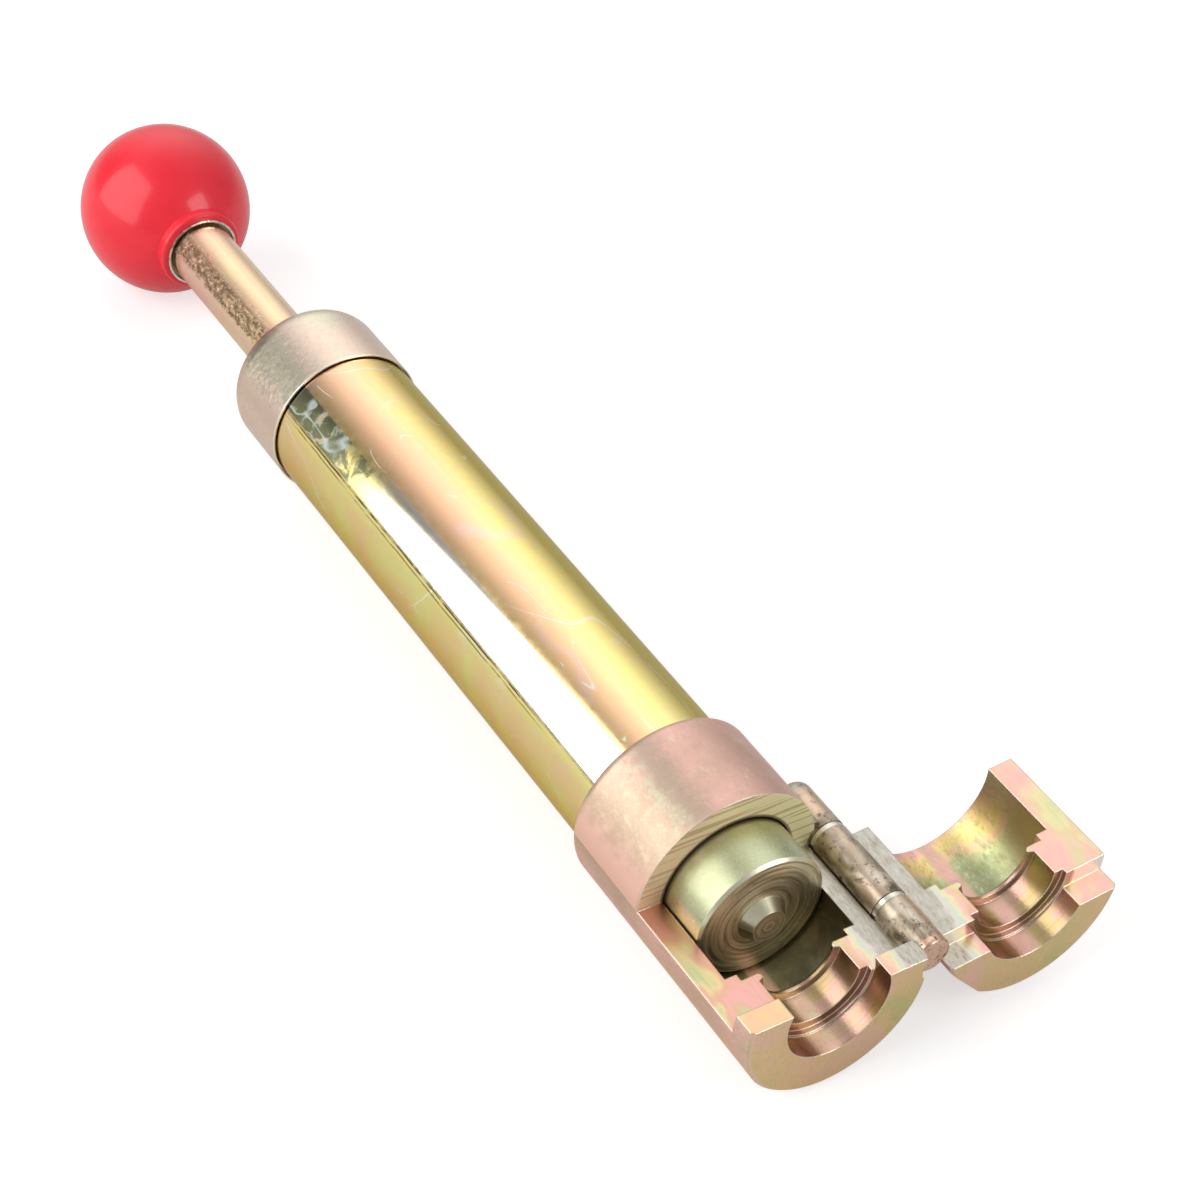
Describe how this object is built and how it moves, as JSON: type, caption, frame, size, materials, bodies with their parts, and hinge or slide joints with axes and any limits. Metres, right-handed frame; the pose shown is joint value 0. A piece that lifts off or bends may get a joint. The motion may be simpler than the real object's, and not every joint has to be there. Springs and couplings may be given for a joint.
{
  "type": "corrugated pipe flaring tool",
  "caption": "Hand flaring tool: a hinged split die on a round barrel, with a sliding hammer rod and a ball knob.",
  "frame": {"origin": "on the tool's axis, in the plane of the die's front face, at the mouth of the pipe seat", "axes": "+X along the tool from the knob to the die's mouth, +Z the normal of the fixed half's split face, +Y towards the hinge"},
  "size_m": [0.3035, 0.0844, 0.0406],
  "materials": {
    "die_zinc": "satin zinc plating with a copper to olive tint",
    "heated_steel": "heat-tinted steel with dark specks",
    "pin_steel": "ground steel",
    "washer_steel": "turned steel",
    "brazing": "dull brazing metal",
    "barrel_zinc": "glossy yellow zinc plating",
    "cap_zinc": "satin zinc plating",
    "bush_brass": "machined bronze",
    "head_zinc": "turned steel with yellow zinc plating",
    "buffer_rubber": "black rubber",
    "rod_zinc": "yellow zinc plating",
    "insert_steel": "bright steel",
    "red_plastic": "glossy moulded plastic"
  },
  "bodies": {
    "barrel": {"die_body": "die_zinc", "barrel_tube": "barrel_zinc", "end_cap": "cap_zinc", "guide_bush": "bush_brass", "rear_knuckle": "heated_steel", "front_knuckle": "heated_steel", "hinge_pin": "pin_steel", "rear_hinge_washer": "washer_steel", "front_hinge_washer": "washer_steel", "rear_knuckle_brazing": "brazing", "front_knuckle_brazing": "brazing"},
    "clam": {"die_clam": "die_zinc", "clam_knuckle": "heated_steel", "clam_knuckle_brazing": "brazing"},
    "buffer": {"buffer_ring": "buffer_rubber"},
    "plunger": {"hammer_head": "head_zinc", "head_lock_pin": "pin_steel", "plunger_rod": "rod_zinc", "knob_insert": "insert_steel", "ball_knob": "red_plastic"}
  },
  "joints": [
    {"name": "clam_hinge", "type": "hinge", "parent": "barrel", "child": "clam", "pos_m": [-0.0185, 0.0223, 0.0005], "axis": [1, 0, 0], "range_deg": [0, 174.7]},
    {"name": "plunger_slide", "type": "slide", "parent": "barrel", "child": "buffer", "axis": [1, 0, 0], "range_m": [-0.146, 0.0093]},
    {"name": "plunger_spin", "type": "hinge", "parent": "buffer", "child": "plunger", "pos_m": [-0.051, 0, 0], "axis": [1, 0, 0], "continuous": true}
  ]
}
